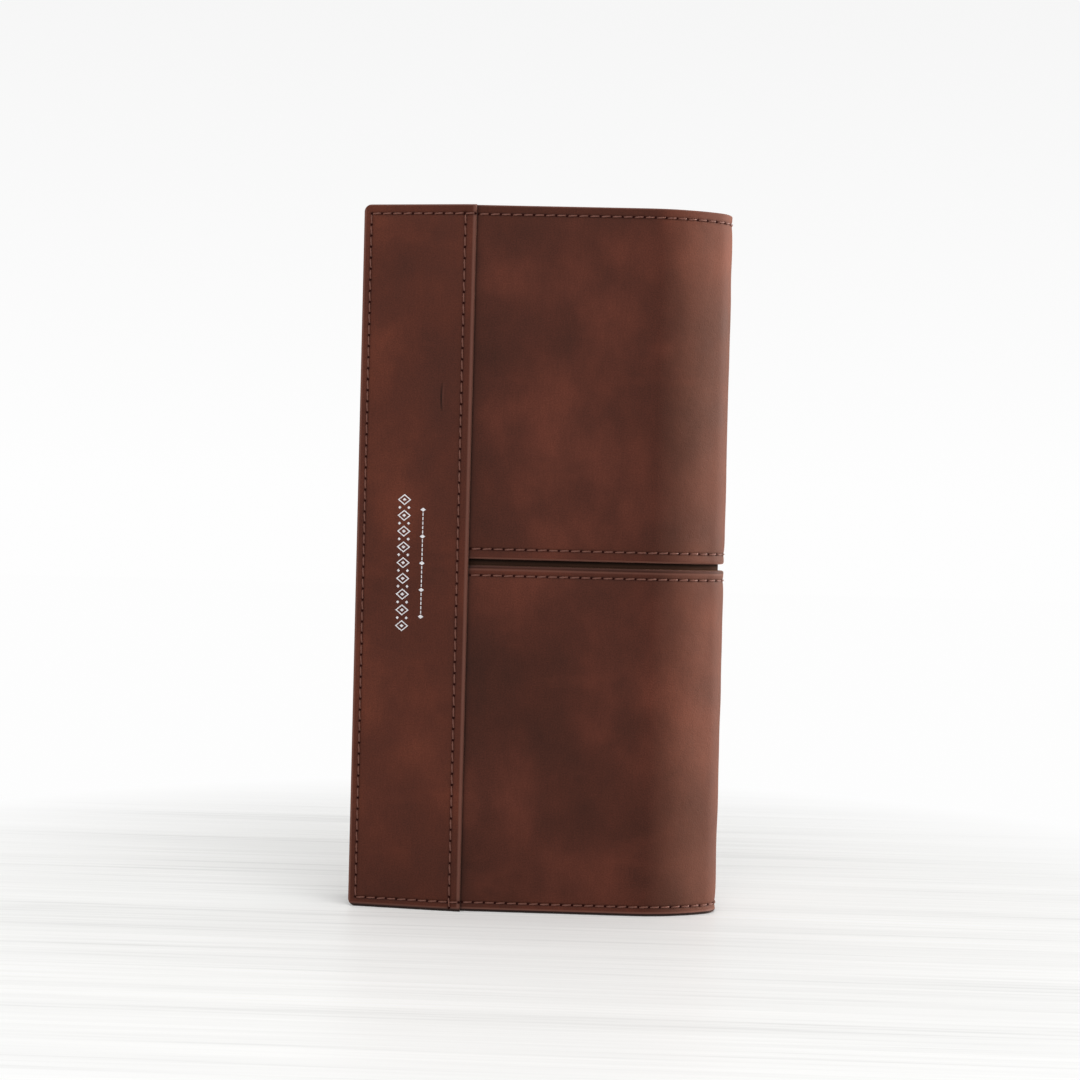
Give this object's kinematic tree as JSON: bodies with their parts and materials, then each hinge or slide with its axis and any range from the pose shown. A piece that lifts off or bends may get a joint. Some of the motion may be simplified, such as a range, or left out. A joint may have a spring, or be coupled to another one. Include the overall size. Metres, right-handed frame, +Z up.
{
  "type": "long bifold wallet",
  "caption": "Tall bifold wallet in brown leather that opens like a book, with a stitched edge strip, a split outer panel, card slots, note compartments and a central zip coin pocket.",
  "frame": {"origin": "middle of the bottom edge of the shut wallet, halfway through its width and depth", "axes": "+Z up the tall side, +X from the open edge towards the spine, -Y out of the front cover"},
  "size_m": [0.1, 0.0276, 0.19],
  "materials": {
    "panel_leather": "matte",
    "strip_leather": "matte",
    "inner_leather": "matte",
    "filler_board": "matte",
    "backing_cloth": "matte",
    "lining_cloth": "matte",
    "clear_film": "clear gloss",
    "zip_tape": "matte",
    "zip_metal": "satin",
    "snap_metal": "satin",
    "seam_thread": "matte"
  },
  "bodies": {
    "back_cover": {"back_backing": "backing_cloth", "back_card_pocket_1": "inner_leather", "back_card_pocket_2": "inner_leather", "back_filler_board": "filler_board", "back_lining": "lining_cloth", "back_note_panel": "inner_leather", "back_panel_threads": "seam_thread", "back_strip": "strip_leather", "back_strip_thread": "seam_thread", "id_window_film": "clear_film", "id_window_frame": "inner_leather", "lower_panel_back": "panel_leather", "upper_panel_back": "panel_leather"},
    "spine": {"leaf_hinge_strap": "inner_leather", "lower_panel_spine": "panel_leather", "spine_backing": "backing_cloth", "spine_lining": "lining_cloth", "spine_panel_threads": "seam_thread", "upper_panel_spine": "panel_leather"},
    "front_cover": {"front_backing": "backing_cloth", "front_card_pocket_1": "inner_leather", "front_card_pocket_2": "inner_leather", "front_card_pocket_3": "inner_leather", "front_filler_board": "filler_board", "front_lining": "lining_cloth", "front_note_panel": "inner_leather", "front_panel_threads": "seam_thread", "front_strip": "strip_leather", "front_strip_thread": "seam_thread", "lower_panel_front": "panel_leather", "snap_stud": "snap_metal", "snap_stud_washer": "snap_metal", "upper_panel_front": "panel_leather"},
    "coin_leaf": {"leaf_back_wall": "inner_leather", "leaf_fold": "inner_leather", "leaf_front_wall": "inner_leather", "leaf_gusset_bottom": "lining_cloth", "leaf_gusset_top": "lining_cloth", "snap_socket": "snap_metal", "snap_socket_washer": "snap_metal", "zip_stops": "zip_metal", "zip_tape_back": "zip_tape", "zip_tape_front": "zip_tape", "zip_teeth_back": "zip_metal", "zip_teeth_front": "zip_metal"},
    "zip_slider": {"zip_slider": "zip_metal"},
    "zip_pull": {"zip_pull": "zip_metal"}
  },
  "joints": [
    {"name": "cover_open", "type": "hinge", "parent": "back_cover", "child": "spine", "pos_m": [0.04569, 0.00849, 0], "axis": [0, 0, 1], "range_deg": [0, 90]},
    {"name": "front_turn", "type": "hinge", "parent": "spine", "child": "front_cover", "pos_m": [0.04569, -0.00849, 0], "axis": [0, 0, 1], "range_deg": [0, 90]},
    {"name": "leaf_turn", "type": "hinge", "parent": "spine", "child": "coin_leaf", "pos_m": [0.0394, 0, 0], "axis": [0, 0, 1], "range_deg": [-67.5, 0]},
    {"name": "zip_run", "type": "slide", "parent": "coin_leaf", "child": "zip_slider", "axis": [0, 0, -1], "range_m": [0, 0.14]},
    {"name": "pull_swing", "type": "hinge", "parent": "zip_slider", "child": "zip_pull", "pos_m": [-0.046, 0, 0.171], "axis": [0, 1, 0], "range_deg": [0, 180]}
  ],
  "couplings": [
    {"joint": "front_turn", "follows": "cover_open", "ratio": 1},
    {"joint": "leaf_turn", "follows": "cover_open", "ratio": -0.75}
  ]
}
